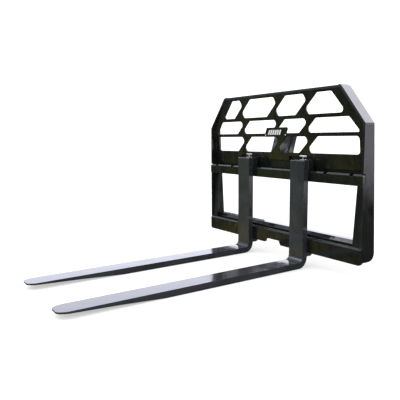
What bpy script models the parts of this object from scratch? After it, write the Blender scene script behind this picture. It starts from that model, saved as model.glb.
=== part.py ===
"""Pallet fork attachment for a skid-steer loader: a welded frame with a slotted guard, and two hook-on forks.

Metres, +Z up. +X is to the right of someone who faces the forks, the fork blades point to -Y and the loader
couples on at +Y. The attachment stands on its blades at z = 0, and the origin is under the middle of its box.
Inside the script, y = 0 is the front face of the two fork bars; the root empty moves everything to the origin.
"""

from math import atan, cos, pi, radians, sin, sqrt, tan

import bmesh
import bpy
from mathutils import Euler, Matrix, Vector

# Driving dimensions
FRAME_WIDTH = 1.150
FRAME_TOP = 0.878
PLATE = 0.012  # side plates and rim
GAP = 0.0003  # between pieces that touch
BAR_TOP = 0.483
BAR_SPAN = 0.407  # class II: bottom of the lower bar to top of the upper bar
BAR_THICK = 0.016
BLADE_LENGTH = 1.219
FORK_WIDTH = 0.096
FORK_THICK = 0.030
FORK_X = 0.209  # each fork's centre, out from the middle
SHANK_TOP = 0.5337

# Rim and side plates
SHOULDER_Z = 0.705
SHOULDER_JOINT_Z = 0.697  # where the side plate ends and the bent corner plate begins
TOP_CORNER_X = 0.4373
TOP_JOINT_INSET = 0.0120  # how far inside the top corner the bent plate ends
RIM_FRONT = 0.003
RIM_DEPTH = 0.0640
SIDE_FOOT_Z = 0.0864
SIDE_FOOT_BACK = 0.0985
SIDE_FOOT_RADIUS = 0.040
BEND_RADIUS = 0.012
SEAT_GAP = 0.0008  # round the bars in the side plates' notches, whose inner corners are eased

# Bars
UPPER_BAR_HEIGHT = 0.052
LOWER_BAR_HEIGHT = 0.078
BAR_CHAMFER = 0.007
NOTCH_PITCH = 0.152
NOTCH_WIDTH = 0.017
NOTCH_DEPTH = 0.0125
REMOVAL_GAP_WIDTH = 0.126
REMOVAL_GAP_HEIGHT = 0.023

# Guard plate, which leans forwards from its lower edge to the rim's front
GUARD_THICK = 0.006
GUARD_SLOPE = 0.115
GUARD_TOP_FRONT = 0.002
GUARD_BOTTOM_Z = 0.4955
GUARD_MARGIN = 0.0575  # from the rim's sloping sides to the windows
GUARD_SIDE_MARGIN = 0.048  # from the side plates to the windows
WEB_CENTRES = (-0.2774, 0.0038, 0.2179)
WEB_HALF = 0.017  # half of a leaning web's width, measured along x
WEB_ANGLE = radians(41.4)
WINDOW_ROWS = ((0.567, 0.649), (0.667, 0.737), (0.7555, 0.855))  # each row's lower and upper edge
WINDOW_RADIUS = 0.016
WINDOW_NOSE = 0.36  # how far over its middle, as a share of half its height, a window's nose is
WINDOW_BLUNT = 0.52  # sideways run for each unit of height above the nose
WINDOW_SHOULDER_SLOPE = 0.84  # the same for the cut corner of the outermost windows
WINDOW_SHORTEST_SHOULDER = 0.006
BADGE = (-0.004, 0.6483, 0.698, 0.166)  # middle, lower edge, upper edge and width of the carrier
BADGE_FACE = (-0.011, 0.6563, 0.688, 0.111)
BADGE_THICK = 0.003
BADGE_FACE_THICK = 0.001
BADGE_ANGLE = radians(61)
RIVET_PLACES = (("left", -0.085), ("right", 0.068))
RIVET_Z = 0.6578
RIVET_RADIUS = 0.0035
RIVET_HEIGHT = 0.002
HOOK_BAY = (0.078, 0.313, 0.549)  # inner x, outer x and height of the gap over each fork's travel
MIDDLE_BAY_Z = 0.5282

# Coupler on the loader's side
RAIL_FRONT = 0.0533
RAIL_THICK = 0.008
RAIL_BOTTOM = 0.4324
COUPLER_TOP = 0.5560
COUPLER_HOOK_THICK = 0.008  # the bent plate on the rail that the loader's coupler hooks under
COUPLER_HOOK_BEND = 0.003  # from the rail's back to the bend
COUPLER_HOOK_REACH = 0.0355
COUPLER_HOOK_WIDTH = 1.040
CHANNEL_FRONT = 0.0312
CHANNEL_BACK = 0.0832
CHANNEL_BOTTOM = 0.1112
CHANNEL_TOP = 0.1767
CHANNEL_BEND = (0.013, 0.016)  # run and drop of the channel's sloping edge
FOOT_THICK = 0.010
FOOT_BACK = 0.0957
FOOT_RIB_X = 0.245
LOCK_SLOT = (0.387, 0.060, 0.022)  # centre x, length and width of each lock pin slot
FLANGE_WIDTH = 0.040
BRACE_WIDTH = 0.166
BRACE_LEAN = radians(17.1)
BRACE_LENGTH = 0.1115
BRACE_THICK = 0.008
BRACE_RIB = 0.010  # width of each rib
BRACE_RIB_HEIGHT = 0.008
LEDGE_HEIGHT = 0.0115

# Forks
HEEL_INNER_RADIUS = 0.024
TAPER_START = 0.770  # along the blade, from the shank
TAPER_KNEE = 0.970
KNEE_RISE = 0.0125
TIP_THICK = 0.007
TIP_CURVE_LENGTH = 0.050
TIP_WIDTH = 0.030
SHANK_CLEARANCE = 0.0005
HOOK_CLEARANCE = 0.0010  # between the hooks' lips and the bars' backs
HOOK_SIDE_INSET = 0.001  # the hooks are this much narrower than the fork on each side
HOOK_BACK = 0.034
HOOK_LIP_BOTTOM = 0.4507
HOOK_TOP = 0.5340
FOOT_HOOK_BACK = 0.047
FOOT_HOOK_BOTTOM = 0.0556
FOOT_HOOK_TOP = 0.1003

# Latch, on a vertical axis over the upper bar
LATCH_Y = 0.012
PIN_RADIUS = 0.006
PIN_TIP = BAR_TOP + 0.0010  # parked position, just over the bar
LATCH_STROKE = 0.010  # from the parked position down into a notch
SPRING_POCKET_RADIUS = 0.0112
SPRING_POCKET_BOTTOM = BAR_TOP + 0.0060
COLLAR_Z = (BAR_TOP + 0.0200, BAR_TOP + 0.0235)
COLLAR_RADIUS = 0.0100
SPRING_RADIUS = 0.0083
SPRING_WIRE = 0.0011
SPRING_TURNS = 5
BUSH_RADIUS = 0.018
BUSH_TOP = HOOK_TOP + 0.0032
BUSH_NECK_LENGTH = 0.004
HUB_RADIUS = 0.0085
HUB_BOTTOM = BUSH_TOP + LATCH_STROKE + 0.0005
HANDLE_RADIUS = 0.0042
HANDLE_LENGTH = 0.048
HANDLE_Z = HUB_BOTTOM + HANDLE_RADIUS + GAP
PIN_GROOVE_DEPTH = 0.0012
PIN_CLEARANCE = 0.0003

HALF = FRAME_WIDTH / 2
BAR_BOTTOM = BAR_TOP - BAR_SPAN
LOWER_BAR_TOP = BAR_BOTTOM + LOWER_BAR_HEIGHT
UPPER_BAR_BOTTOM = BAR_TOP - UPPER_BAR_HEIGHT
RAIL_TOP = COUPLER_TOP - COUPLER_HOOK_THICK - GAP
SHANK_BACK = -SHANK_CLEARANCE
SHANK_FRONT = SHANK_BACK - FORK_THICK
TIP_Y = SHANK_FRONT - BLADE_LENGTH
BRACE_FOOT_Y = RAIL_FRONT + RAIL_THICK
BACK_Y = BRACE_FOOT_Y + BRACE_THICK / 2 * cos(BRACE_LEAN) + BRACE_LENGTH * sin(BRACE_LEAN)
ORIGIN_SHIFT = -(TIP_Y + BACK_Y) / 2
GUARD_LEAN = atan(GUARD_SLOPE)

FRONT_PLANE = Euler((pi / 2, 0, 0))  # outline in x, z with its thickness along y
SIDE_PLANE = Euler((pi / 2, 0, pi / 2))  # outline in y, z with its thickness along x
FLAT_PLANE = Euler((0, 0, 0))


# Scene helpers


def clear_scene():
    for obj in list(bpy.data.objects):
        bpy.data.objects.remove(obj, do_unlink=True)


def new_collection(name):
    made = bpy.data.collections.new(name)
    bpy.context.scene.collection.children.link(made)
    return made


def new_material(name, colour, roughness, metallic):
    made = bpy.data.materials.new(name)
    made.use_nodes = True
    shader = made.node_tree.nodes["Principled BSDF"]
    shader.inputs["Base Color"].default_value = (*colour, 1)
    shader.inputs["Roughness"].default_value = roughness
    shader.inputs["Metallic"].default_value = metallic
    return made


def new_empty(name, place, parent=None):
    made = bpy.data.objects.new(name, None)
    PARTS.objects.link(made)
    made.location = place
    made.parent = parent
    return made


def add_object(name, mesh, place=(0, 0, 0), turn=FLAT_PLANE):
    made = bpy.data.objects.new(name, mesh)
    PARTS.objects.link(made)
    made.location = place
    made.rotation_euler = turn
    return made


def finish(obj, finish_name, parent=None):
    """Gives a finished piece its own material and hangs it from its parent."""
    colour, roughness, metallic = FINISHES[finish_name]
    obj.data.materials.clear()
    obj.data.materials.append(new_material(obj.name, colour, roughness, metallic))
    obj.parent = parent or ROOT
    return obj


def as_mesh(curve_object):
    """Replaces a filled curve by a closed mesh object in the same place."""
    bpy.context.view_layer.update()
    graph = bpy.context.evaluated_depsgraph_get()
    mesh = bpy.data.meshes.new_from_object(curve_object.evaluated_get(graph))
    shell = bmesh.new()
    shell.from_mesh(mesh)
    bmesh.ops.remove_doubles(shell, verts=shell.verts, dist=1e-6)
    bmesh.ops.recalc_face_normals(shell, faces=shell.faces)
    shell.to_mesh(mesh)
    shell.free()
    name = curve_object.name
    curve_object.name = name + "_outline"
    made = bpy.data.objects.new(name, mesh)
    PARTS.objects.link(made)
    made.matrix_world = curve_object.matrix_world.copy()
    bpy.data.objects.remove(curve_object, do_unlink=True)
    return made


def plate(name, outlines, thickness, place, turn):
    """A flat plate: the first outline is its edge and the others are holes. The place is its mid-plane."""
    curve = bpy.data.curves.new(name, "CURVE")
    curve.dimensions = "2D"
    curve.fill_mode = "BOTH"
    curve.extrude = thickness / 2
    for outline in outlines:
        spline = curve.splines.new("POLY")
        spline.points.add(len(outline) - 1)
        for point, (u, v) in zip(spline.points, outline):
            point.co = (u, v, 0, 1)
        spline.use_cyclic_u = True
    return as_mesh(add_object(name, curve, place, turn))


def box(name, low, high):
    size = Vector(high) - Vector(low)
    middle = (Vector(high) + Vector(low)) / 2
    shell = bmesh.new()
    bmesh.ops.create_cube(shell, size=1, matrix=Matrix.Diagonal((*size, 1)))
    mesh = bpy.data.meshes.new(name)
    shell.to_mesh(mesh)
    shell.free()
    return add_object(name, mesh, middle)


def rod(name, radius, low, high, centre=(0, 0), sides=28, axis="Z"):
    """A round bar along Z or X, or a cutter of that shape. The centre is given in the other two axes."""
    shell = bmesh.new()
    bmesh.ops.create_cone(
        shell, cap_ends=True, segments=sides, radius1=radius, radius2=radius, depth=high - low
    )
    mesh = bpy.data.meshes.new(name)
    shell.to_mesh(mesh)
    shell.free()
    middle = (low + high) / 2
    if axis == "Z":
        return add_object(name, mesh, (centre[0], centre[1], middle))
    return add_object(name, mesh, (middle, *centre), Euler((0, pi / 2, 0)))


def turned(name, profile, centre=(0, 0), steps=32):
    """A turned piece. The profile is (radius, z) down its outer side, and starts and ends on the axis."""
    mesh = bpy.data.meshes.new(name)
    points = [(radius, 0, z) for radius, z in profile]
    mesh.from_pydata(points, [(i, i + 1) for i in range(len(points) - 1)], [])
    made = add_object(name, mesh, (*centre, 0))
    screw = made.modifiers.new("turn", "SCREW")
    screw.steps = steps
    screw.render_steps = steps
    screw.use_merge_vertices = True
    screw.merge_threshold = 0.00001
    return made


def boolean(obj, other, operation="DIFFERENCE"):
    """Cuts with, or joins, another object, and puts that object among the cutters."""
    step = obj.modifiers.new(other.name, "BOOLEAN")
    step.operation = operation
    step.solver = "EXACT"
    step.object = other
    PARTS.objects.unlink(other)
    CUTTERS.objects.link(other)
    other.hide_render = True
    other.display_type = "WIRE"
    other.parent = other.parent or ROOT
    return obj


def ease(obj, width, segments=2, angle=40):
    """Rounds the sharp edges a little."""
    bevel = obj.modifiers.new("eased edges", "BEVEL")
    bevel.width = width
    bevel.segments = segments
    bevel.limit_method = "ANGLE"
    bevel.angle_limit = radians(angle)
    return obj


# Outline helpers


def rounded(corners, radius, steps=4):
    """The outline with each corner rounded. A corner is (u, v), or (u, v, its own radius)."""
    outline = []
    for i, corner in enumerate(corners):
        here = Vector(corner[:2])
        before = Vector(corners[i - 1][:2]) - here
        after = Vector(corners[(i + 1) % len(corners)][:2]) - here
        own = corner[2] if len(corner) > 2 else radius
        half_angle = before.angle(after) / 2
        reach = min(own / tan(half_angle), 0.48 * before.length, 0.48 * after.length)
        if own <= 0 or half_angle > radians(88):
            outline.append(tuple(here))
            continue
        start = here + before.normalized() * reach
        end = here + after.normalized() * reach
        centre = here + (before.normalized() + after.normalized()).normalized() * (
            reach / cos(half_angle)
        )
        from_centre = start - centre
        sweep = from_centre.angle_signed(end - centre)
        for step in range(steps + 1):
            turn = Matrix.Rotation(-sweep * step / steps, 2)
            outline.append(tuple(centre + turn @ from_centre))
    return outline


def mirrored(points):
    return [(-x, y, *rest) for x, y, *rest in reversed(points)]


def guard_front(z):
    """The y of the guard plate's front face at a height."""
    return GUARD_TOP_FRONT + GUARD_SLOPE * (FRAME_TOP - z)


def guard_point(x, z):
    """A point on the guard plate in the plate's own outline plane, which starts at its lower edge."""
    return x, (z - GUARD_BOTTOM_Z) / cos(GUARD_LEAN)


def on_guard(name, outlines, thickness, in_front):
    """A plate parallel to the guard. in_front is how far its mid-plane lies before the guard's front face."""
    y = guard_front(GUARD_BOTTOM_Z) - in_front * cos(GUARD_LEAN)
    z = GUARD_BOTTOM_Z - in_front * sin(GUARD_LEAN)
    turn = Euler((pi / 2 + GUARD_LEAN, 0, 0))
    flat = [[guard_point(x, z_) for x, z_ in outline] for outline in outlines]
    return plate(name, flat, thickness, (0, y, z), turn)


# Frame


def side_back(z):
    """The y of the side plates' straight back edge at a height."""
    top_back = RIM_FRONT + RIM_DEPTH
    foot = SIDE_FOOT_Z + SIDE_FOOT_RADIUS
    return top_back + (SIDE_FOOT_BACK - top_back) * (SHOULDER_Z - z) / (SHOULDER_Z - foot)


def side_plates():
    seat = BAR_THICK + SEAT_GAP
    top = SHOULDER_JOINT_Z
    corners = [
        (seat, SIDE_FOOT_Z),
        (SIDE_FOOT_BACK, SIDE_FOOT_Z, SIDE_FOOT_RADIUS),
        (side_back(top), top),
        (RIM_FRONT, top),
        (RIM_FRONT, BAR_TOP + SEAT_GAP),
        (seat, BAR_TOP + SEAT_GAP),
        (seat, UPPER_BAR_BOTTOM - SEAT_GAP),
        (RIM_FRONT, UPPER_BAR_BOTTOM - SEAT_GAP),
        (RIM_FRONT, LOWER_BAR_TOP + SEAT_GAP),
        (seat, LOWER_BAR_TOP + SEAT_GAP),
    ]
    outline = rounded(corners, 0, steps=8)
    for side, x in (("left", -1), ("right", 1)):
        made = plate(f"side_plate_{side}", [outline], PLATE, (x * (HALF - PLATE / 2), 0, 0), SIDE_PLANE)
        finish(ease(made, 0.0010, 1), "black")


def rim_corner_outline():
    """The bent plate over the right-hand shoulder, from the side plate to the top band."""
    turn = atan((HALF - TOP_CORNER_X) / (FRAME_TOP - SHOULDER_Z))
    low = SHOULDER_JOINT_Z + GAP
    lower_inside = SHOULDER_Z - PLATE * tan(turn / 2)
    upper_inside = TOP_CORNER_X - PLATE * tan((pi / 2 - turn) / 2)
    end = TOP_CORNER_X - TOP_JOINT_INSET
    return rounded(
        [
            (HALF, low),
            (HALF, SHOULDER_Z, BEND_RADIUS / 2),
            (TOP_CORNER_X, FRAME_TOP, BEND_RADIUS),
            (end, FRAME_TOP),
            (end, FRAME_TOP - PLATE),
            (upper_inside, FRAME_TOP - PLATE),
            (HALF - PLATE, lower_inside),
            (HALF - PLATE, low),
        ],
        0,
    )


def rim():
    outline = rim_corner_outline()
    middle = RIM_FRONT + RIM_DEPTH / 2
    for side, edge in (("left", mirrored(outline)), ("right", outline)):
        made = plate(f"rim_corner_{side}", [edge], RIM_DEPTH, (0, middle, 0), FRONT_PLANE)
        finish(ease(made, 0.0010, 1), "black")
    end = TOP_CORNER_X - TOP_JOINT_INSET - GAP
    top = box(
        "rim_top", (-end, RIM_FRONT, FRAME_TOP - PLATE), (end, RIM_FRONT + RIM_DEPTH, FRAME_TOP)
    )
    finish(ease(top, 0.0010, 1), "black")


def window_sides(low, high):
    """For one row, a web's right side and left side as offsets from its centre, each listed upwards."""
    middle = (low + high) / 2
    half = (high - low) / 2
    slant = 1 / tan(WEB_ANGLE)
    nose = WINDOW_NOSE * half
    left_of_web = [
        (-WEB_HALF - half * slant, low),
        (-WEB_HALF + nose * slant, middle + nose),
        (-WEB_HALF + nose * slant - (half - nose) * WINDOW_BLUNT, high),
    ]
    right_of_web = [(-x, 2 * middle - z) for x, z in reversed(left_of_web)]
    return left_of_web, right_of_web


def outer_edge(z):
    """Half the width left for windows at a height, inside the rim and its margin."""
    slope = (HALF - TOP_CORNER_X) / (FRAME_TOP - SHOULDER_Z)
    margin = GUARD_MARGIN * sqrt(1 + slope * slope)
    return min(HALF - GUARD_SIDE_MARGIN, TOP_CORNER_X + (FRAME_TOP - z) * slope - margin)


def window_outlines():
    """The twelve windows, row by row, as rounded outlines in x, z."""
    outlines = []
    for low, high in WINDOW_ROWS:
        left_of_web, right_of_web = window_sides(low, high)
        shoulder = high - (outer_edge(low) - outer_edge(high)) / WINDOW_SHOULDER_SLOPE
        right_edge = [(outer_edge(low), low), (outer_edge(low), shoulder), (outer_edge(high), high)]
        if min(high - shoulder, shoulder - low) < WINDOW_SHORTEST_SHOULDER:
            right_edge = [(outer_edge(low), low), (outer_edge(high), high)]
        left_edge = [(-x, z) for x, z in right_edge]
        starts = [left_edge] + [[(c + x, z) for x, z in right_of_web] for c in WEB_CENTRES]
        ends = [[(c + x, z) for x, z in left_of_web] for c in WEB_CENTRES] + [right_edge]
        for start, end in zip(starts, ends):
            outlines.append(rounded(end + start[::-1], WINDOW_RADIUS, steps=5))
    return outlines


def guard_edge():
    """The guard plate's outline in x, z: inside the rim, with bays in its lower edge over the forks' travel."""
    inset = PLATE + 0.0010
    turn = atan((HALF - TOP_CORNER_X) / (FRAME_TOP - SHOULDER_Z))
    inner, outer, bay_top = HOOK_BAY
    right = [
        (inner, MIDDLE_BAY_Z, 0.003),
        (inner, bay_top, 0.006),
        (outer, bay_top, 0.006),
        (outer, GUARD_BOTTOM_Z, 0.003),
        (HALF - inset, GUARD_BOTTOM_Z),
        (HALF - inset, SHOULDER_Z - inset * tan(turn / 2)),
        (TOP_CORNER_X - inset * tan((pi / 2 - turn) / 2), FRAME_TOP - inset),
    ]
    return rounded(right + mirrored(right), 0, steps=3)


def guard_plate():
    made = on_guard("guard_plate", [guard_edge()] + window_outlines(), GUARD_THICK, -GUARD_THICK / 2)
    finish(made, "guard")


def leaning_panel(middle, low, high, width):
    """A parallelogram that leans like the webs."""
    lean = (high - low) / tan(BADGE_ANGLE)
    return [
        (middle - width / 2 - lean / 2, low),
        (middle + width / 2 - lean / 2, low),
        (middle + width / 2 + lean / 2, high),
        (middle - width / 2 + lean / 2, high),
    ]


def badge():
    """A blank name plate on two rivets over the middle web, with a plain inset face."""
    carrier = rounded(leaning_panel(*BADGE), 0.008, steps=4)
    face = rounded(leaning_panel(*BADGE_FACE), 0.003, steps=3)
    carrier_front = BADGE_THICK + GAP
    finish(on_guard("badge_carrier", [carrier], BADGE_THICK, BADGE_THICK / 2 + GAP), "guard")
    face_middle = carrier_front + GAP + BADGE_FACE_THICK / 2
    finish(on_guard("badge_face", [face], BADGE_FACE_THICK, face_middle), "bright")
    for side, x in RIVET_PLACES:
        y = guard_front(RIVET_Z) - carrier_front - GAP - RIVET_HEIGHT / 2
        head = rod(f"badge_rivet_{side}", RIVET_RADIUS, -RIVET_HEIGHT / 2, RIVET_HEIGHT / 2, sides=20)
        head.location = (x, y, RIVET_Z)
        head.rotation_euler = Euler((pi / 2 + GUARD_LEAN, 0, 0))
        finish(ease(head, 0.0008, 2), "bright")


def bar_notch(side, x):
    """A latch notch in the upper bar's top edge, with its inner wall slanted."""
    half = NOTCH_WIDTH / 2
    over = 0.010
    slant = 0.008
    rise = slant * (NOTCH_DEPTH + over) / NOTCH_DEPTH
    low = BAR_TOP - NOTCH_DEPTH
    corners = [
        (x + side * half, low, 0.002),
        (x + side * half, BAR_TOP + over),
        (x - side * (half + rise), BAR_TOP + over),
        (x - side * half, low, 0.002),
    ]
    if side < 0:
        corners = corners[::-1]
    name = f"notch_cutter_{round(1000 * x)}"
    return plate(name, [rounded(corners, 0, 3)], 0.1, (0, 0, 0), FRONT_PLANE)


def front_chamfer(name, top):
    """A long wedge that takes off a bar's front top edge."""
    size = BAR_CHAMFER
    over = 0.004
    wedge = [(-over, top - size - over), (size + over, top + over), (-over, top + over)]
    return plate(name, [wedge], FRAME_WIDTH + 0.02, (0, 0, 0), SIDE_PLANE)


def upper_bar():
    corners = [
        (-HALF, UPPER_BAR_BOTTOM),
        (HALF, UPPER_BAR_BOTTOM),
        (HALF, BAR_TOP, 0.012),
        (-HALF, BAR_TOP, 0.012),
    ]
    bar = plate(
        "upper_fork_bar", [rounded(corners, 0)], BAR_THICK, (0, BAR_THICK / 2, 0), FRONT_PLANE
    )
    boolean(bar, front_chamfer("upper_bar_chamfer", BAR_TOP))
    for side in (-1, 1):
        for step in range(3):
            boolean(bar, bar_notch(side, side * (FORK_X + step * NOTCH_PITCH)))
    finish(bar, "black")


def lower_bar():
    half_gap = REMOVAL_GAP_WIDTH / 2
    roof = BAR_BOTTOM + REMOVAL_GAP_HEIGHT
    corners = [
        (-HALF, BAR_BOTTOM, 0.012),
        (-half_gap, BAR_BOTTOM),
        (-half_gap + 0.012, roof, 0.004),
        (half_gap - 0.012, roof, 0.004),
        (half_gap, BAR_BOTTOM),
        (HALF, BAR_BOTTOM, 0.012),
        (HALF, LOWER_BAR_TOP),
        (-HALF, LOWER_BAR_TOP),
    ]
    bar = plate(
        "lower_fork_bar", [rounded(corners, 0)], BAR_THICK, (0, BAR_THICK / 2, 0), FRONT_PLANE
    )
    boolean(bar, front_chamfer("lower_bar_chamfer", LOWER_BAR_TOP))
    finish(bar, "black")


def bent_section(path, thickness):
    """A sheet's section along a path, thickened to the path's left."""
    left = []
    for i, here in enumerate(path):
        here = Vector(here)
        ahead = (Vector(path[i + 1]) - here if i + 1 < len(path) else here - Vector(path[i - 1])).normalized()
        behind = (here - Vector(path[i - 1]) if i else ahead).normalized()
        normals = [Vector((-d.y, d.x)) for d in (behind, ahead)]
        middle = (normals[0] + normals[1]).normalized()
        left.append(tuple(here + middle * thickness / middle.dot(normals[0])))
    return [tuple(p) for p in path] + left[::-1]


def coupler():
    """What the loader's quick coupler hooks under at the top and locks into at the bottom."""
    inside = HALF - PLATE - GAP
    rail_back = RAIL_FRONT + RAIL_THICK
    rail = box(
        "coupler_top_rail", (-inside, RAIL_FRONT, RAIL_BOTTOM), (inside, rail_back, RAIL_TOP)
    )
    finish(rail, "black")
    underside = RAIL_TOP + GAP
    slope = COUPLER_HOOK_REACH - COUPLER_HOOK_BEND - COUPLER_HOOK_THICK / sqrt(2)
    path = [
        (RAIL_FRONT, underside),
        (rail_back + COUPLER_HOOK_BEND, underside),
        (rail_back + COUPLER_HOOK_BEND + slope, underside - slope),
    ]
    hook = bent_section(path, COUPLER_HOOK_THICK)
    finish(plate("coupler_hook", [hook], COUPLER_HOOK_WIDTH, (0, 0, 0), SIDE_PLANE), "black")
    ledge = box(
        "bar_ledge",
        (-inside, BAR_THICK + GAP, RAIL_BOTTOM),
        (inside, RAIL_FRONT - GAP, RAIL_BOTTOM + LEDGE_HEIGHT),
    )
    finish(ledge, "black")
    cross_member(inside)
    coupler_foot(inside)


def cross_member(inside):
    """The bent sheet behind the lower bar, and two ribs inside it."""
    run, drop = CHANNEL_BEND
    path = [
        (CHANNEL_FRONT, CHANNEL_BOTTOM),
        (CHANNEL_FRONT, CHANNEL_TOP - drop),
        (CHANNEL_FRONT + run, CHANNEL_TOP),
        (CHANNEL_BACK, CHANNEL_TOP),
    ]
    section = bent_section(path, -RAIL_THICK)
    channel = plate("lower_cross_member", [section[::-1]], 2 * inside, (0, 0, 0), SIDE_PLANE)
    finish(channel, "black")
    front = CHANNEL_FRONT + RAIL_THICK + GAP
    back = CHANNEL_BACK - 0.004
    low = CHANNEL_BOTTOM + FOOT_THICK + GAP
    high = CHANNEL_TOP - RAIL_THICK - GAP
    rib_edge = [(front, low), (back, low), (back, high), (front + run, high), (front, high - drop)]
    for side, x in (("left", -FOOT_RIB_X), ("right", FOOT_RIB_X)):
        finish(plate(f"foot_rib_{side}", [rib_edge], FOOT_THICK, (x, 0, 0), SIDE_PLANE), "black")


def coupler_foot(inside):
    centre, length, width = LOCK_SLOT
    low = CHANNEL_FRONT + RAIL_THICK + GAP
    slot_y = (low + FOOT_BACK) / 2 + 0.004  # clear of the channel's bend
    edge = [(-inside, low), (inside, low), (inside, FOOT_BACK), (-inside, FOOT_BACK)]
    slots = []
    for side in (-1, 1):
        x = side * centre
        corners = [
            (x - length / 2, slot_y - width / 2),
            (x + length / 2, slot_y - width / 2),
            (x + length / 2, slot_y + width / 2),
            (x - length / 2, slot_y + width / 2),
        ]
        slots.append(rounded(corners, width / 2 - 0.001, 5))
    middle = CHANNEL_BOTTOM + FOOT_THICK / 2
    finish(plate("coupler_foot", [edge, *slots], FOOT_THICK, (0, 0, middle), FLAT_PLANE), "black")


def side_flanges():
    """Leaning strips inside the side plates, between the lower bar and the ledge."""
    low, high = LOWER_BAR_TOP + GAP, RAIL_BOTTOM - GAP
    section = bent_section([(0.007, low), (0.0300, high)], -RAIL_THICK)
    square = [(y, min(max(z, low), high)) for y, z in section]
    for side, x in (("left", -1), ("right", 1)):
        middle = x * (HALF - PLATE - GAP - FLANGE_WIDTH / 2)
        made = plate(f"side_flange_{side}", [square[::-1]], FLANGE_WIDTH, (middle, 0, 0), SIDE_PLANE)
        finish(made, "black")


def centre_brace():
    """A leaning strip over the coupler rail, with two ribs on its front."""
    half = BRACE_THICK / 2
    lean = new_empty("brace_lean", (0, BRACE_FOOT_Y, COUPLER_TOP + 0.003), ROOT)
    lean.rotation_euler = Euler((-BRACE_LEAN, 0, 0))
    strip = box("centre_brace", (-BRACE_WIDTH / 2, -half, 0), (BRACE_WIDTH / 2, half, BRACE_LENGTH))
    finish(ease(strip, 0.0010, 1), "grey", lean)
    for side, x in (("left", -0.038), ("right", 0.047)):
        low = (x - BRACE_RIB / 2, -half - GAP - BRACE_RIB_HEIGHT, 0.010)
        high = (x + BRACE_RIB / 2, -half - GAP, BRACE_LENGTH - 0.004)
        rib = box(f"brace_rib_{side}", low, high)
        finish(ease(rib, 0.0010, 1), "grey", lean)


# Forks: everything below is placed from a fork's own empty, on the bars' front face in the fork's middle


def fork_section():
    """The fork's side view: shank, heel and blade with its underside drawn up to the tip."""
    outer = HEEL_INNER_RADIUS + FORK_THICK
    return rounded(
        [
            (SHANK_BACK, SHANK_TOP, 0.004),
            (SHANK_FRONT, SHANK_TOP, 0.004),
            (SHANK_FRONT, FORK_THICK, HEEL_INNER_RADIUS),
            (TIP_Y, FORK_THICK, 0.002),
            (TIP_Y, FORK_THICK - TIP_THICK, 0.003),
            (SHANK_FRONT - TAPER_KNEE, KNEE_RISE, 0.3),
            (SHANK_FRONT - TAPER_START, 0, 0.5),
            (SHANK_BACK, 0, outer),
        ],
        0,
        steps=8,
    )


def fork_plan():
    """The blade seen from above: parallel sides, then a long curve to a blunt tip."""
    half, tip = FORK_WIDTH / 2, TIP_WIDTH / 2
    steps = 8
    side = []
    for step in range(steps + 1):
        angle = pi / 2 * step / steps
        x = tip + (half - tip) * cos(angle)
        side.append((x, TIP_Y + TIP_CURVE_LENGTH * (1 - sin(angle))))
    side = side[:-1] + [(tip, TIP_Y)]
    back = 0.05
    return [(-half, back), (-half, side[0][1])] + mirrored(side)[::-1][1:] + side[::-1] + [(half, back)]


def fork_bar(side, parent):
    bar = plate(f"fork_{side}", [fork_section()], FORK_WIDTH, (0, 0, 0), SIDE_PLANE)
    plan = plate(f"fork_plan_{side}", [fork_plan()], 1.4, (0, 0, 0.3), FLAT_PLANE)
    plan.parent = parent
    boolean(bar, plan, "INTERSECT")
    finish(ease(bar, 0.0030, 2, 50), "fork", parent)


def hooks(side, parent):
    """The hooks at the shank's back: the top one hangs on the upper bar, the bottom one holds the lower."""
    seat = BAR_THICK + HOOK_CLEARANCE
    width = FORK_WIDTH - 2 * HOOK_SIDE_INSET
    top = rounded(
        [
            (GAP + SHANK_BACK, BAR_TOP + SHANK_CLEARANCE),
            (seat, BAR_TOP + SHANK_CLEARANCE, 0.002),
            (seat, HOOK_LIP_BOTTOM),
            (HOOK_BACK, HOOK_LIP_BOTTOM, 0.003),
            (HOOK_BACK, HOOK_TOP, 0.008),
            (GAP + SHANK_BACK, HOOK_TOP),
        ],
        0,
    )
    hook = plate(f"top_hook_{side}", [top], width, (0, 0, 0), SIDE_PLANE)
    below, above = BAR_TOP - 0.02, HOOK_TOP + 0.02
    axis = (0, LATCH_Y)
    bore = rod(f"pin_bore_{side}", PIN_RADIUS + PIN_CLEARANCE, below, above, axis)
    pocket = rod(f"spring_pocket_{side}", SPRING_POCKET_RADIUS, SPRING_POCKET_BOTTOM, above, axis)
    for cutter in (bore, pocket):
        cutter.parent = parent
        boolean(hook, cutter)
    finish(hook, "hook", parent)
    foot = rounded(
        [
            (GAP + SHANK_BACK, FOOT_HOOK_BOTTOM),
            (FOOT_HOOK_BACK - 0.020, FOOT_HOOK_BOTTOM),
            (FOOT_HOOK_BACK, FOOT_HOOK_BOTTOM + 0.014, 0.004),
            (FOOT_HOOK_BACK, FOOT_HOOK_TOP, 0.003),
            (seat, FOOT_HOOK_TOP, 0.003),
            (seat, BAR_BOTTOM - SHANK_CLEARANCE, 0.002),
            (GAP + SHANK_BACK, BAR_BOTTOM - SHANK_CLEARANCE),
        ],
        0,
    )
    finish(plate(f"bottom_hook_{side}", [foot], width, (0, 0, 0), SIDE_PLANE), "hook", parent)


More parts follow.
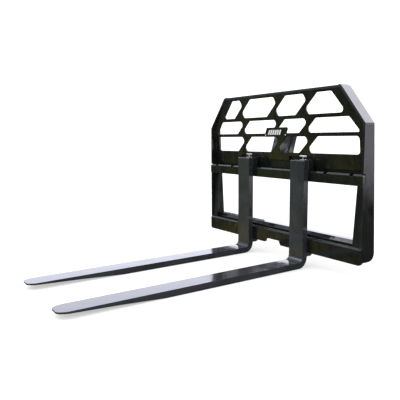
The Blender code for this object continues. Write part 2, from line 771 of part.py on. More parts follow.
def latch_bush(side, parent):
    """The flanged bush that closes the spring's pocket and guides the pin."""
    bore = PIN_RADIUS + PIN_CLEARANCE
    neck = SPRING_POCKET_RADIUS - 0.0004
    neck_bottom = HOOK_TOP - BUSH_NECK_LENGTH
    flange_bottom = HOOK_TOP + GAP
    profile = [
        (bore, BUSH_TOP),
        (BUSH_RADIUS - 0.001, BUSH_TOP),
        (BUSH_RADIUS, BUSH_TOP - 0.001),
        (BUSH_RADIUS, flange_bottom),
        (neck, flange_bottom),
        (neck, neck_bottom),
        (bore, neck_bottom),
        (bore, BUSH_TOP),
    ]
    made = turned(f"latch_bush_{side}", profile, (0, LATCH_Y))
    finish(made, "bright", parent)


def latch_spring(side, parent):
    """A compression spring between the bush and the collar."""
    low = COLLAR_Z[1] + GAP + SPRING_WIRE
    high = HOOK_TOP - BUSH_NECK_LENGTH - GAP - SPRING_WIRE
    per_turn = 12
    count = SPRING_TURNS * per_turn
    curve = bpy.data.curves.new(f"latch_spring_{side}", "CURVE")
    curve.dimensions = "3D"
    curve.bevel_depth = SPRING_WIRE
    curve.bevel_resolution = 1
    curve.use_fill_caps = True
    spline = curve.splines.new("POLY")
    spline.points.add(count)
    for i, point in enumerate(spline.points):
        angle = 2 * pi * i / per_turn
        height = low + (high - low) * i / count
        point.co = (SPRING_RADIUS * cos(angle), SPRING_RADIUS * sin(angle), height, 1)
    made = add_object(f"latch_spring_{side}", curve, (0, LATCH_Y, 0))
    finish(made, "spring", parent)


def latch_collar(side, parent):
    """The ring that the spring pushes on. It lifts with the pin, and the pin turns in it."""
    low, high = COLLAR_Z
    bore = PIN_RADIUS - PIN_GROOVE_DEPTH + PIN_CLEARANCE
    profile = [(bore, high), (COLLAR_RADIUS, high), (COLLAR_RADIUS, low), (bore, low), (bore, high)]
    finish(turned(f"latch_collar_{side}", profile), "bright", parent)


def latch_pin(side, parent):
    """The pin, with a groove where the collar sits."""
    groove = PIN_RADIUS - PIN_GROOVE_DEPTH
    low, high = COLLAR_Z
    top = HUB_BOTTOM - GAP
    profile = [
        (0, top),
        (PIN_RADIUS, top),
        (PIN_RADIUS, high + GAP),
        (groove, high + GAP),
        (groove, low - GAP),
        (PIN_RADIUS, low - GAP),
        (PIN_RADIUS, PIN_TIP + 0.003),
        (PIN_RADIUS - 0.002, PIN_TIP),
        (0, PIN_TIP),
    ]
    finish(turned(f"latch_pin_{side}", profile, steps=28), "bright", parent)


def latch_handle(side, parent):
    """A T-handle: a hub on the pin's top, with a cross bar."""
    shoulder = 0.0012
    profile = [
        (0, HANDLE_Z),
        (HUB_RADIUS - shoulder, HANDLE_Z),
        (HUB_RADIUS, HANDLE_Z - shoulder),
        (HUB_RADIUS, HUB_BOTTOM + shoulder),
        (HUB_RADIUS - shoulder, HUB_BOTTOM),
        (0, HUB_BOTTOM),
    ]
    hub = turned(f"latch_handle_{side}", profile, steps=28)
    reach = HANDLE_LENGTH / 2
    cross = rod(f"handle_cross_{side}", HANDLE_RADIUS, -reach, reach, (0, HANDLE_Z), 20, "X")
    ease(cross, 0.0015, 2)
    cross.parent = parent
    boolean(hub, cross, "UNION")
    finish(hub, "bright", parent)


def fork(side, x):
    base = new_empty(f"fork_{side}_slide", (x, 0, 0), ROOT)
    latch = new_empty(f"latch_{side}_axis", (0, LATCH_Y, 0), base)
    fork_bar(side, base)
    hooks(side, base)
    latch_bush(side, base)
    latch_spring(side, base)
    latch_collar(side, latch)
    latch_pin(side, latch)
    latch_handle(side, latch)


def shade_smooth():
    for obj in PARTS.objects:
        if obj.type != "MESH":
            continue
        obj.data.shade_smooth()
        obj.data.set_sharp_from_angle(angle=radians(35))


FINISHES = {
    "black": ((0.016, 0.017, 0.018), 0.25, 0.0),
    "guard": ((0.022, 0.027, 0.017), 0.25, 0.0),
    "fork": ((0.030, 0.032, 0.036), 0.30, 0.0),
    "hook": ((0.012, 0.012, 0.014), 0.35, 0.0),
    "grey": ((0.10, 0.10, 0.11), 0.35, 0.0),
    "bright": ((0.72, 0.72, 0.74), 0.25, 1.0),
    "spring": ((0.45, 0.45, 0.47), 0.35, 1.0),
}

clear_scene()
PARTS = new_collection("pallet_fork_attachment")
CUTTERS = new_collection("cutters")
ROOT = new_empty("attachment_origin", (0, ORIGIN_SHIFT, 0))
side_plates()
rim()
guard_plate()
badge()
upper_bar()
lower_bar()
coupler()
side_flanges()
centre_brace()
fork("left", -FORK_X)
fork("right", FORK_X)
shade_smooth()
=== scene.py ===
"""Looks of the pallet fork attachment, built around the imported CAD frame."""

from math import cos, pi, radians, sin

import bmesh
import bpy
from mathutils import Matrix, Vector


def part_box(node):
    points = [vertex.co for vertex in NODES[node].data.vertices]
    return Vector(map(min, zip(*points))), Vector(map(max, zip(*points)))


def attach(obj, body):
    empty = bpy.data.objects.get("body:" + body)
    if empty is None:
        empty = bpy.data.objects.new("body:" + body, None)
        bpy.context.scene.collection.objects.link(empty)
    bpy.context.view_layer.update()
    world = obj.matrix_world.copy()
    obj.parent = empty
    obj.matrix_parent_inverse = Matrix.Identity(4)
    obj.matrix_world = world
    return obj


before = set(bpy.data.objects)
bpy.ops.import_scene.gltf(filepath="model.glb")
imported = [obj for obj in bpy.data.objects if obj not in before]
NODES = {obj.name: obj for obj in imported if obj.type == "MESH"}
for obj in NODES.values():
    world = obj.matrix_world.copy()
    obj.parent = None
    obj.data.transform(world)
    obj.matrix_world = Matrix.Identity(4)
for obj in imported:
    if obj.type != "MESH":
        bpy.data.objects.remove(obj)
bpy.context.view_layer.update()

# Camera, from the front of the upper bar
BAR_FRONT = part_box("upper_fork_bar")[0].y
CAMERA_FROM_BAR = Vector((1.9093, -1.7268, 0.6498))
YAW = radians(56.538)
PITCH = radians(7.4525)
ROLL = radians(-0.5447)
LENS = 43.155
SENSOR = 36.0

# Light
WHITE_LEVEL = 1.50  # the backdrop and the floor's light
FLOOR_COLOUR = (0.55, 0.55, 0.55, 1)
FLOOR_GLOW = 0.47  # a table lit from below keeps shadows faint
BOARD_TOWARDS = Vector((0.12, 0.55, 0.82)).normalized()  # a bright board for the rim's slope
BOARD_GLOW = (5.0, 4.85, 5.35, 1)
LAMP_PLACE = (-2.6, -2.4, 3.4)
LAMP_AIM = (0, 0, 0.3)
LAMP_SIZE = 2.6
LAMP_WATTS = 60

# Floor, and the card that only reflections see
FLOOR_HALF = 30
FLOOR_DROP = 0.0005  # keeps the floor clear of the blades' undersides
CARD_BEHIND_BAR = 0.12
CARD_X = (-0.73, -0.20)
CARD_Z = (0.16, 0.43)

# Colours
NEAR_BLACK = (0.0045, 0.0047, 0.0050, 1)
SOFT_BLACK = (0.0085, 0.0090, 0.0085, 1)
OLIVE_BLACK = (0.0075, 0.0090, 0.0045, 1)
FORK_BLACK = (0.0160, 0.0175, 0.0205, 1)
FORK_GREY = (0.0250, 0.0270, 0.0315, 1)
BRACE_GREY = (0.0420, 0.0430, 0.0470, 1)
DUST = (0.110, 0.105, 0.098, 1)
BARE_STEEL = (0.30, 0.29, 0.28, 1)

# Rounded edges of the CAD nodes
MERGE_DISTANCE = 0.00002
FLAT_ANGLE = radians(1)
SHARP_ANGLE = radians(33)

# Shape of a weld bead
BEAD_PITCH = 0.0042  # between ripples
BEAD_STEPS = 4  # rings in each ripple
BEAD_SIDES = 9
RIPPLE = 0.13
UNEVEN = 0.05
UNEVEN_RATE = 411.0  # radians per metre
RING_LEAN = 0.25
END_ROOM = 0.0006

# Places and radii of the beads
OFF_FACE = 0.0003  # from a plate's face to the bead's centre
BEHIND_GUARD = 0.0018  # from the guard's rear face
BRACE_SIDES = (0.0012, 0.0105)  # from the brace's front
GUARD_BEAD = 0.0026
BAR_BEAD = 0.0026
RAIL_BEAD = 0.0034
RAIL_BACK_BEAD = 0.0038
CHANNEL_BEAD = 0.0030
FOOT_BEAD = 0.0032
SHOULDER_BEAD = 0.0026
CORNER_BEAD = 0.0042
TOP_HOOK_BEAD = 0.0022
BOTTOM_HOOK_BEAD = 0.0020

# Guard plate and badge
GUARD_THICK = 0.006
GUARD_SLOPE = 0.115
BADGE_BARS = 6
BADGE_BAR_SHARE = 0.65  # of the pitch
BADGE_BAR_LEAN = 0.55
BADGE_BAR_PROUD = 0.0013
BADGE_BAR_SUNK = 0.0004
BADGE_BAR_ROUND = 0.0004
BADGE_MARGIN = 0.0035  # above and below the bars
BADGE_LEFT = 0.0075
BADGE_RIGHT = 0.0055


class Graph:
    """A node tree, built with short calls."""

    def __init__(self, tree):
        self.tree = tree
        tree.nodes.clear()

    def add(self, kind, inputs=None, **settings):
        node = self.tree.nodes.new(kind)
        for key, value in settings.items():
            setattr(node, key, value)
        for socket, value in (inputs or {}).items():
            if isinstance(value, bpy.types.NodeSocket):
                self.tree.links.new(value, node.inputs[socket])
            else:
                node.inputs[socket].default_value = value
        return node

    def math(self, operation, *values):
        node = self.add("ShaderNodeMath", dict(enumerate(values)), operation=operation)
        return node.outputs[0]

    def mix(self, share, low, high):
        inputs = {0: share, 6: low, 7: high}
        return self.add("ShaderNodeMix", inputs, data_type="RGBA").outputs[2]

    def spread(self, value, low, high, to_low=0.0, to_high=1.0, smooth=False):
        inputs = {0: value, 1: low, 2: high, 3: to_low, 4: to_high}
        kind = "SMOOTHSTEP" if smooth else "LINEAR"
        return self.add("ShaderNodeMapRange", inputs, interpolation_type=kind).outputs[0]

    def stretch(self, where, scale):
        node = self.add("ShaderNodeMapping", {"Vector": where, "Scale": scale})
        return node.outputs[0]

    def noise(self, where, scale, detail=3.0, distortion=0.0):
        inputs = {"Vector": where, "Scale": scale, "Detail": detail, "Distortion": distortion}
        return self.add("ShaderNodeTexNoise", inputs).outputs["Fac"]

    def bump(self, height, strength, distance, normal=None):
        inputs = {"Height": height, "Strength": strength, "Distance": distance}
        if normal is not None:
            inputs["Normal"] = normal
        return self.add("ShaderNodeBump", inputs).outputs[0]


def add_object(name, data):
    obj = bpy.data.objects.new(name, data)
    bpy.context.scene.collection.objects.link(obj)
    return obj


def mesh_of(shell, name):
    """The mesh that a bmesh holds; the bmesh is freed."""
    mesh = bpy.data.meshes.new(name)
    shell.to_mesh(mesh)
    shell.free()
    return mesh


def new_material(name):
    made = bpy.data.materials.new(name)
    made.use_nodes = True
    graph = Graph(made.node_tree)
    shader = graph.add("ShaderNodeBsdfPrincipled")
    graph.add("ShaderNodeOutputMaterial", {"Surface": shader.outputs[0]})
    here = graph.add("ShaderNodeTexCoord").outputs["Object"]
    return made, graph, shader, here


def plug(graph, shader, **sockets):
    """Links or sets the shader's sockets; a name's underscores stand for spaces."""
    for name, value in sockets.items():
        socket = shader.inputs[name.replace("_", " ")]
        if isinstance(value, bpy.types.NodeSocket):
            graph.tree.links.new(value, socket)
        else:
            socket.default_value = value


def dust_share(graph, here, amount):
    """Dust lies on faces that look up, in blotches."""
    normal = graph.add("ShaderNodeNewGeometry").outputs["Normal"]
    up = graph.add("ShaderNodeSeparateXYZ", {0: normal}).outputs["Z"]
    lying = graph.spread(up, 0.55, 0.98, 0.0, amount)
    return graph.math("MULTIPLY", lying, graph.spread(graph.noise(here, 26, 6, 0.4), 0.35, 0.72))


def powder_coat(
    name, base, patch, rough, dust,
    wave=0.30, ior=1.52, scratches=0.0, chips=0.0, grain=(150, 5, 150),
):
    """Baked paint: orange peel, slow waves, blotches, dust, and scratches or bare chips."""
    made, graph, shader, here = new_material(name)
    blotch = graph.spread(graph.noise(here, 8, 4, 0.7), 0.38, 0.66)
    colour = graph.mix(blotch, base, patch)
    roughness = graph.spread(graph.noise(here, 19, 6, 0.3), 0.34, 0.68, *rough)
    if scratches:
        lines = graph.noise(graph.stretch(here, grain), 1.0, 4, 0.2)
        scuffed = graph.spread(lines, 0.60, 0.74, 0.0, scratches)
        colour = graph.mix(scuffed, colour, BARE_STEEL)
        roughness = graph.math("ADD", roughness, graph.math("MULTIPLY", scuffed, 0.25))
    if chips:
        bare = graph.spread(graph.noise(here, 95, 5, 0.8), 0.60, 0.66, 0.0, chips)
        colour = graph.mix(bare, colour, BARE_STEEL)
    dusty = dust_share(graph, here, dust)
    colour = graph.mix(dusty, colour, DUST)
    roughness = graph.math("ADD", roughness, graph.math("MULTIPLY", dusty, 0.5))
    peel = graph.bump(graph.noise(here, 330, 2), 0.10, 0.0004)
    swell = graph.noise(graph.stretch(here, (1.0, 1.0, 0.45)), 13, 2, 0.4)
    normal = graph.bump(swell, wave, 0.006, peel)
    plug(graph, shader, Base_Color=colour, Roughness=roughness, Normal=normal, IOR=ior)
    return made


def metal(name, dark, light, rough, grain):
    """Plated or bare metal with fine drawn lines and a cloudy tone."""
    made, graph, shader, here = new_material(name)
    cloud = graph.noise(here, 70, 5, 0.5)
    lines = graph.noise(graph.stretch(here, grain), 1.0, 5)
    tone = graph.math("MULTIPLY", graph.spread(cloud, 0.3, 0.7), graph.spread(lines, 0.3, 0.7))
    colour = graph.mix(tone, dark, light)
    roughness = graph.spread(lines, 0.3, 0.7, *rough)
    plug(graph, shader, Base_Color=colour, Roughness=roughness, Metallic=1.0)
    plug(graph, shader, Normal=graph.bump(lines, 0.12, 0.0004))
    return made


def badge_bright():
    """Satin white metal of the badge's plain bars."""
    made, graph, shader, here = new_material("badge_bright")
    brushed = graph.noise(graph.stretch(here, (600, 600, 18)), 1.0, 4)
    share = graph.spread(brushed, 0.3, 0.7)
    colour = graph.mix(share, (0.62, 0.63, 0.65, 1), (0.86, 0.87, 0.88, 1))
    plug(graph, shader, Base_Color=colour, Roughness=graph.spread(brushed, 0.3, 0.7, 0.28, 0.46))
    plug(graph, shader, Metallic=0.35, Normal=graph.bump(brushed, 0.10, 0.0003))
    return made


def weld_paint():
    """Paint over a weld: the same black, thinner and duller, with a burnt tone here and there."""
    made, graph, shader, here = new_material("weld_paint")
    burnt = graph.spread(graph.noise(here, 60, 4, 0.5), 0.45, 0.7)
    colour = graph.mix(burnt, SOFT_BLACK, (0.030, 0.026, 0.022, 1))
    roughness = graph.spread(graph.noise(here, 140, 4), 0.3, 0.7, 0.18, 0.42)
    normal = graph.bump(graph.noise(here, 600, 3), 0.35, 0.0006)
    plug(graph, shader, Base_Color=colour, Roughness=roughness, Normal=normal)
    return made


def make_camera():
    ahead = Vector((-sin(YAW) * cos(PITCH), cos(YAW) * cos(PITCH), -sin(PITCH)))
    level = Vector((cos(YAW), sin(YAW), 0))
    over = level.cross(ahead)
    right = level * cos(ROLL) + over * sin(ROLL)
    up = over * cos(ROLL) - level * sin(ROLL)
    data = bpy.data.cameras.new("camera")
    data.lens = LENS
    data.sensor_width = SENSOR
    camera = add_object("camera", data)
    place = CAMERA_FROM_BAR + Vector((0, BAR_FRONT, 0))
    turned = Matrix((right, up, -ahead)).transposed().to_4x4()
    camera.matrix_world = Matrix.Translation(place) @ turned
    bpy.context.scene.camera = camera


def make_floor():
    shell = bmesh.new()
    bmesh.ops.create_grid(shell, x_segments=1, y_segments=1, size=FLOOR_HALF)
    mesh = mesh_of(shell, "floor")
    floor = add_object("floor", mesh)
    made, graph, shader, _ = new_material("floor")
    plug(graph, shader, Base_Color=FLOOR_COLOUR, Roughness=1.0, Specular_IOR_Level=0.0)
    plug(graph, shader, Emission_Color=(1, 1, 1, 1), Emission_Strength=FLOOR_GLOW)
    mesh.materials.append(made)
    floor.location.z = -FLOOR_DROP
    floor.visible_glossy = False


def make_flag():
    """A streaked dark card behind the lower left and middle openings, seen only by reflections."""
    y = BAR_FRONT + CARD_BEHIND_BAR
    left, right = CARD_X
    low, high = CARD_Z
    corners = ((left, y, low), (right, y, low), (right, y, high), (left, y, high))
    mesh = bpy.data.meshes.new("flag")
    mesh.from_pydata(corners, [], [(0, 1, 2, 3)])
    flag = add_object("flag", mesh)
    made, graph, shader, here = new_material("flag")
    streaks = graph.noise(graph.stretch(here, (60, 1, 9)), 1.0, 3)
    share = graph.spread(streaks, 0.40, 0.70)
    glow = graph.mix(share, (0.10, 0.10, 0.11, 1), (0.85, 0.86, 0.95, 1))
    plug(graph, shader, Base_Color=(0, 0, 0, 1), Roughness=1.0, Specular_IOR_Level=0.0)
    plug(graph, shader, Emission_Color=glow, Emission_Strength=1.0)
    mesh.materials.append(made)
    for unseen in ("camera", "diffuse", "transmission", "volume_scatter", "shadow"):
        setattr(flag, f"visible_{unseen}", False)


def reflected_yard(graph):
    """What the gloss mirrors: a pale sky, brighter behind the frame, dark ground and a board."""
    towards = graph.add("ShaderNodeTexCoord").outputs["Generated"]
    parts = graph.add("ShaderNodeSeparateXYZ", {0: towards}).outputs
    behind = graph.spread(parts["Y"], -0.30, 0.10, smooth=True)
    steep = graph.spread(parts["Z"], -0.60, -0.20, 1.0, 0.0, smooth=True)
    high = graph.spread(parts["Z"], 0.42, 0.80, smooth=True)
    patches = graph.spread(graph.noise(towards, 7, 4, 0.8), 0.46, 0.66)
    hedge = graph.mix(patches, (0.045, 0.055, 0.030, 1), (0.19, 0.26, 0.11, 1))
    grass = graph.mix(patches, (0.07, 0.07, 0.035, 1), (0.62, 0.52, 0.16, 1))
    low = graph.spread(parts["Z"], -0.22, -0.13, smooth=True)
    front_ground = graph.mix(low, grass, hedge)
    rear_ground = graph.mix(steep, (0.03, 0.03, 0.035, 1), (0.40, 0.33, 0.28, 1))
    ground = graph.mix(behind, front_ground, rear_ground)
    front_sky = graph.mix(high, (0.62, 0.70, 0.85, 1), (0.80, 0.88, 1.05, 1))
    lifted = graph.spread(parts["Z"], 0.06, 0.22, smooth=True)
    rear_low = graph.mix(lifted, (1.55, 1.50, 1.66, 1), (2.55, 2.60, 3.05, 1))
    rear_sky = graph.mix(high, rear_low, (1.20, 1.25, 1.45, 1))
    sky = graph.mix(behind, front_sky, rear_sky)
    horizon = graph.spread(behind, 0.0, 1.0, 0.055, -0.10)
    over = graph.math("SUBTRACT", parts["Z"], horizon)
    yard = graph.mix(graph.spread(over, -0.05, 0.05, smooth=True), ground, sky)
    inputs = {0: towards, 1: BOARD_TOWARDS}
    facing = graph.add("ShaderNodeVectorMath", inputs, operation="DOT_PRODUCT")
    board = graph.spread(facing.outputs["Value"], 0.84, 0.95, smooth=True)
    return graph.mix(board, yard, BOARD_GLOW)


def make_world():
    world = bpy.data.worlds.new("studio")
    world.use_nodes = True
    graph = Graph(world.node_tree)
    ray = graph.add("ShaderNodeLightPath").outputs
    mirrored = graph.add("ShaderNodeBackground", {"Color": reflected_yard(graph), "Strength": 1.0})
    plain = graph.add("ShaderNodeBackground", {"Color": (1, 1, 1, 1), "Strength": WHITE_LEVEL})
    inputs = {0: ray["Is Glossy Ray"], 1: plain.outputs[0], 2: mirrored.outputs[0]}
    either = graph.add("ShaderNodeMixShader", inputs)
    graph.add("ShaderNodeOutputWorld", {"Surface": either.outputs[0]})
    bpy.context.scene.world = world


def make_lamp():
    data = bpy.data.lights.new("key", "AREA")
    data.size = LAMP_SIZE
    data.energy = LAMP_WATTS
    lamp = add_object("key", data)
    lamp.location = LAMP_PLACE
    ahead = Vector(LAMP_AIM) - Vector(LAMP_PLACE)
    lamp.rotation_euler = ahead.to_track_quat("-Z", "Y").to_euler()


def dress(node, paint, edge_wear_and_highlight, width):
    """Gives a CAD node its material and rounded edges; the edges take the edge material, which
    holds wear and chips and, on the frame, guard and brace, a lighter black that is partly a
    painted edge highlight.
    """
    obj = NODES[node]
    obj.data.materials.clear()
    obj.data.materials.append(paint)
    obj.data.materials.append(edge_wear_and_highlight)
    weld = obj.modifiers.new("weld", "WELD")
    weld.merge_threshold = MERGE_DISTANCE
    flat = obj.modifiers.new("flat", "DECIMATE")
    flat.decimate_type = "DISSOLVE"
    flat.angle_limit = FLAT_ANGLE
    edge = obj.modifiers.new("edge", "BEVEL")
    edge.limit_method = "ANGLE"
    edge.angle_limit = SHARP_ANGLE
    edge.width = width
    edge.segments = 2
    edge.material = 1
    shade = obj.modifiers.new("shade", "WEIGHTED_NORMAL")
    shade.keep_sharp = False
    shade.weight = 80


def new_piece(name, mesh, material, body):
    obj = add_object(name, mesh)
    mesh.materials.append(material)
    for face in mesh.polygons:
        face.use_smooth = True
    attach(obj, body)
    return obj


def add_bead(shell, start, end, radius):
    """One rippled weld bead between two points, closed with rounded ends."""
    start, end = Vector(start), Vector(end)
    along = end - start
    length = along.length
    along.normalize()
    side = along.orthogonal().normalized()
    other = along.cross(side)
    count = max(8, round(length / BEAD_PITCH * BEAD_STEPS))
    rings = []
    for i in range(count + 1):
        s = length * i / count
        ripple = 1 + RIPPLE * abs(sin(pi * s / BEAD_PITCH)) + UNEVEN * sin(s * UNEVEN_RATE)
        cap = min(1.0, (min(s, length - s) + END_ROOM) / radius)
        size = radius * ripple * (1 - (1 - cap) ** 2) ** 0.5
        centre = start + along * s
        ring = []
        for k in range(BEAD_SIDES):
            turn = 2 * pi * k / BEAD_SIDES
            lean = along * (RING_LEAN * radius * cos(2 * turn))
            out = (side * cos(turn) + other * sin(turn)) * size
            ring.append(shell.verts.new(centre + out + lean * cap))
        rings.append(ring)
    for a, b in zip(rings, rings[1:]):
        for k in range(BEAD_SIDES):
            m = (k + 1) % BEAD_SIDES
            shell.faces.new((a[k], a[m], b[m], b[k]))
    shell.faces.new(rings[0][::-1])
    shell.faces.new(rings[-1])


def welds(name, beads, body, material):
    shell = bmesh.new()
    for start, end, radius in beads:
        add_bead(shell, start, end, radius)
    bmesh.ops.recalc_face_normals(shell, faces=shell.faces)
    new_piece(name, mesh_of(shell, name), material, body)


def stitches(start, end, count, share, radius):
    """Equal beads spread along a line, covering that share of it."""
    start, end = Vector(start), Vector(end)
    made = []
    for i in range(count):
        middle = (i + 0.5) / count
        half = share / count / 2
        made.append((start.lerp(end, middle - half), start.lerp(end, middle + half), radius))
    return made


def both_sides(beads):
    """The beads and their mirror images across x = 0."""
    made = []
    for start, end, radius in beads:
        made.append((start, end, radius))
        flip = Vector((-1, 1, 1))
        made.append((Vector(start) * flip, Vector(end) * flip, radius))
    return made


def guard_welds():
    """The guard is stitched to the side plates in front, and welded along the rim behind."""
    low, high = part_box("guard_plate")
    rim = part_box("rim_corner_right")[0]
    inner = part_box("side_plate_right")[0].x
    slope = (high.y - low.y - GUARD_THICK) / (high.z - low.z)
    foot = (inner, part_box("coupler_top_rail")[1].z + 0.012)
    shoulder = (inner, rim.z + 0.006)
    corner = (rim.x + 0.0065, high.z)
    crest = (-corner[0], high.z)
    back = GUARD_THICK + BEHIND_GUARD

    def on_guard(point, depth):
        x, z = point
        return Vector((x, low.y + (high.z - z) * slope + depth, z))

    def behind(start, end):
        return stitches(on_guard(start, back), on_guard(end, back), 1, 1, GUARD_BEAD)

    in_front = stitches(on_guard(foot, 0), on_guard(shoulder, 0), 2, 0.55, GUARD_BEAD)
    made = both_sides(in_front)
    made += both_sides(behind(foot, shoulder))
    made += both_sides(behind(shoulder, corner))
    made += behind(crest, corner)
    return made


def line_y(x, z, start, end, radius):
    """A bead that runs front to back."""
    return (x, start, z), (x, end, z), radius


def line_z(x, y, start, end, radius):
    """A bead that runs upwards."""
    return (x, y, start), (x, y, end), radius


def frame_welds():
    """Beads at the side plates, the rail, the cross member, the foot plate and the brace.

    The small lengths keep a bead's ends clear of the corners and bends.
    """
    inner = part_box("side_plate_right")[0].x - OFF_FACE
    upper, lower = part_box("upper_fork_bar"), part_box("lower_fork_bar")
    rail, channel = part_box("coupler_top_rail"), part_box("lower_cross_member")
    foot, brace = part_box("coupler_foot"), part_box("centre_brace")
    back = upper[1].y - 0.001
    made = both_sides([
        line_y(inner, upper[0].z, upper[0].y + 0.003, back, BAR_BEAD),
        line_y(inner, lower[1].z, lower[0].y + 0.003, back, BAR_BEAD),
        line_z(inner, rail[0].y, rail[0].z + 0.020, rail[1].z - 0.006, RAIL_BEAD),
        line_z(inner, rail[1].y, rail[0].z + 0.004, rail[1].z - 0.022, RAIL_BACK_BEAD),
        line_y(inner, channel[1].z, channel[0].y + 0.004, channel[1].y - 0.018, RAIL_BEAD),
        line_z(inner, channel[0].y, channel[0].z + 0.012, channel[1].z - 0.006, CHANNEL_BEAD),
        line_y(inner, foot[0].z, foot[0].y + 0.006, foot[1].y - 0.010, FOOT_BEAD),
    ])
    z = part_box("coupler_hook")[1].z + 0.0008
    for depth in BRACE_SIDES:
        y = brace[0].y + depth
        made.append(((brace[0].x + 0.002, y, z), (brace[1].x - 0.002, y, z), RAIL_BEAD))
    return made


def seam_welds():
    """Flat beads across the joints of the bent rim, on its outside."""
    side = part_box("side_plate_right")
    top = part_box("rim_top")
    front, back = side[0].y + 0.001, top[1].y - 0.001
    return both_sides([
        line_y(side[1].x - 0.0012, side[1].z, front, back, SHOULDER_BEAD),
        line_y(top[1].x, top[1].z - 0.0008, front, back, CORNER_BEAD),
    ])


def hook_welds(side):
    """Beads that hold a fork's two hooks to its shank."""
    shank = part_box(f"fork_{side}")
    top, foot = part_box(f"top_hook_{side}"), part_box(f"bottom_hook_{side}")
    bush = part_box(f"latch_bush_{side}")
    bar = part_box("upper_fork_bar")
    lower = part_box("lower_fork_bar")
    y = shank[1].y + OFF_FACE
    made = []
    for x in (top[0].x + 0.0002, top[1].x - 0.0002):
        made.append(line_z(x, y, bar[1].z + 0.004, top[1].z - 0.002, TOP_HOOK_BEAD))
        made.append(line_z(x, y, foot[0].z + 0.002, lower[0].z - 0.003, BOTTOM_HOOK_BEAD))
    z = top[1].z
    made.append(((top[0].x + 0.002, y, z), (bush[0].x - 0.0035, y, z), TOP_HOOK_BEAD))
    made.append(((bush[1].x + 0.0035, y, z), (top[1].x - 0.002, y, z), TOP_HOOK_BEAD))
    return made


def badge_bars(material):
    """Plain slanted bars in place of the badge's lettering."""
    low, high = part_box("badge_face")
    foot, head = low.z + BADGE_MARGIN, high.z - BADGE_MARGIN
    first = low.x + BADGE_LEFT
    last = high.x - BADGE_RIGHT - (high.z - low.z) * BADGE_BAR_LEAN
    pitch = (last - first) / (BADGE_BARS - 1 + BADGE_BAR_SHARE)
    width = pitch * BADGE_BAR_SHARE
    lean = (head - foot) * BADGE_BAR_LEAN
    shell = bmesh.new()
    for i in range(BADGE_BARS):
        left = first + i * pitch
        right = left + width
        fronts = []
        for x, z in ((left, foot), (right, foot), (right + lean, head), (left + lean, head)):
            y = low.y + (high.z - z) * GUARD_SLOPE - BADGE_BAR_PROUD
            fronts.append(shell.verts.new((x, y, z)))
        sunk = Vector((0, BADGE_BAR_PROUD + BADGE_BAR_SUNK, 0))
        backs = [shell.verts.new(v.co + sunk) for v in fronts]
        shell.faces.new(fronts)
        shell.faces.new(backs[::-1])
        for k in range(4):
            m = (k + 1) % 4
            shell.faces.new((fronts[k], backs[k], backs[m], fronts[m]))
    bmesh.ops.recalc_face_normals(shell, faces=shell.faces)
    edges = list(shell.edges)
    bmesh.ops.bevel(
        shell, geom=edges, offset=BADGE_BAR_ROUND, segments=2, affect="EDGES", profile=0.7
    )
    obj = new_piece("badge_bars", mesh_of(shell, "badge_bars"), material, "frame")
    obj.modifiers.new("shade", "WEIGHTED_NORMAL").keep_sharp = False


FRAME_GLOSS = powder_coat("frame_gloss", NEAR_BLACK, SOFT_BLACK, (0.07, 0.17), dust=0.10)
GUARD_GLOSS = powder_coat(
    "guard_gloss", NEAR_BLACK, OLIVE_BLACK, (0.08, 0.20), dust=0.12, wave=0.45
)
BRACE_GLOSS = powder_coat(
    "brace_gloss", FORK_BLACK, BRACE_GREY, (0.30, 0.44), dust=0.18, wave=0.08, scratches=0.55,
    grain=(70, 20, 3),
)
FORK_SATIN = powder_coat(
    "fork_satin", FORK_BLACK, FORK_GREY, (0.10, 0.17), dust=0.04, wave=0.12, ior=1.62,
    scratches=0.03,
)
HOOK_SATIN = powder_coat(
    "hook_satin", SOFT_BLACK, FORK_BLACK, (0.22, 0.40), dust=0.20, scratches=0.05
)
# Edge paint for the frame, guard and brace: chips and wear, plus a lighter black than the frame's
# own that is partly a painted edge highlight along every bevel.
WORN_AND_HIGHLIGHT_EDGE = powder_coat("worn_and_highlight_edge", SOFT_BLACK, FORK_GREY, (0.14, 0.26), dust=0.06, chips=0.12)
WORN_FORK_EDGE = powder_coat(
    "worn_fork_edge", FORK_BLACK, FORK_GREY, (0.16, 0.28), dust=0.06, chips=0.25
)
ZINC = metal(
    "zinc_plate", (0.48, 0.48, 0.47, 1), (0.82, 0.82, 0.80, 1), (0.16, 0.34), (300, 300, 900)
)
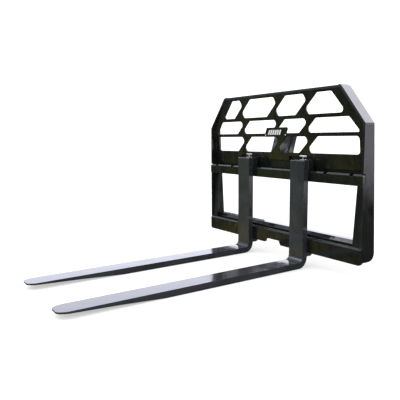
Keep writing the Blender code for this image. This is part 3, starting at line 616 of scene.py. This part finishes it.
SPRING = metal(
    "spring_wire", (0.25, 0.25, 0.26, 1), (0.50, 0.50, 0.50, 1), (0.22, 0.40), (900, 900, 300)
)
PLATE_BRIGHT = badge_bright()
WELD_PAINT = weld_paint()

FINISHES = {
    "frame_paint": (FRAME_GLOSS, WORN_AND_HIGHLIGHT_EDGE, 0.0008),
    "guard_paint": (GUARD_GLOSS, WORN_AND_HIGHLIGHT_EDGE, 0.0007),
    "brace_paint": (BRACE_GLOSS, WORN_AND_HIGHLIGHT_EDGE, 0.0006),
    "fork_paint": (FORK_SATIN, WORN_FORK_EDGE, 0.0014),
    "hook_paint": (HOOK_SATIN, WORN_FORK_EDGE, 0.0007),
    "bright_metal": (PLATE_BRIGHT, PLATE_BRIGHT, 0.0002),
    "zinc": (ZINC, ZINC, 0.0003),
    "spring_steel": (SPRING, SPRING, 0.0001),
}
NODE_SLOTS = {
    "centre_brace": "brace_paint",
    "brace_rib_left": "brace_paint",
    "brace_rib_right": "brace_paint",
    "guard_plate": "guard_paint",
    "badge_carrier": "guard_paint",
    "badge_face": "guard_paint",
    "upper_fork_bar": "guard_paint",
    "lower_fork_bar": "guard_paint",
    "badge_rivet_left": "bright_metal",
    "badge_rivet_right": "bright_metal",
}
FORK_SLOTS = {
    "fork": "fork_paint",
    "top_hook": "hook_paint",
    "bottom_hook": "hook_paint",
    "latch_bush": "zinc",
    "latch_collar": "zinc",
    "latch_pin": "zinc",
    "latch_handle": "zinc",
    "latch_spring": "spring_steel",
}
for kind, slot in FORK_SLOTS.items():
    for hand in ("left", "right"):
        NODE_SLOTS[f"{kind}_{hand}"] = slot

make_camera()
make_floor()
make_flag()
make_world()
make_lamp()
for name in NODES:
    dress(name, *FINISHES[NODE_SLOTS.get(name, "frame_paint")])
badge_bars(PLATE_BRIGHT)
welds("frame_welds", frame_welds(), "frame", WELD_PAINT)
welds("guard_welds", guard_welds(), "frame", WELD_PAINT)
welds("seam_welds", seam_welds(), "frame", WELD_PAINT)
for hand in ("left", "right"):
    welds(f"hook_welds_{hand}", hook_welds(hand), f"fork_{hand}_body", WELD_PAINT)
bpy.context.scene.view_settings.view_transform = "Standard"
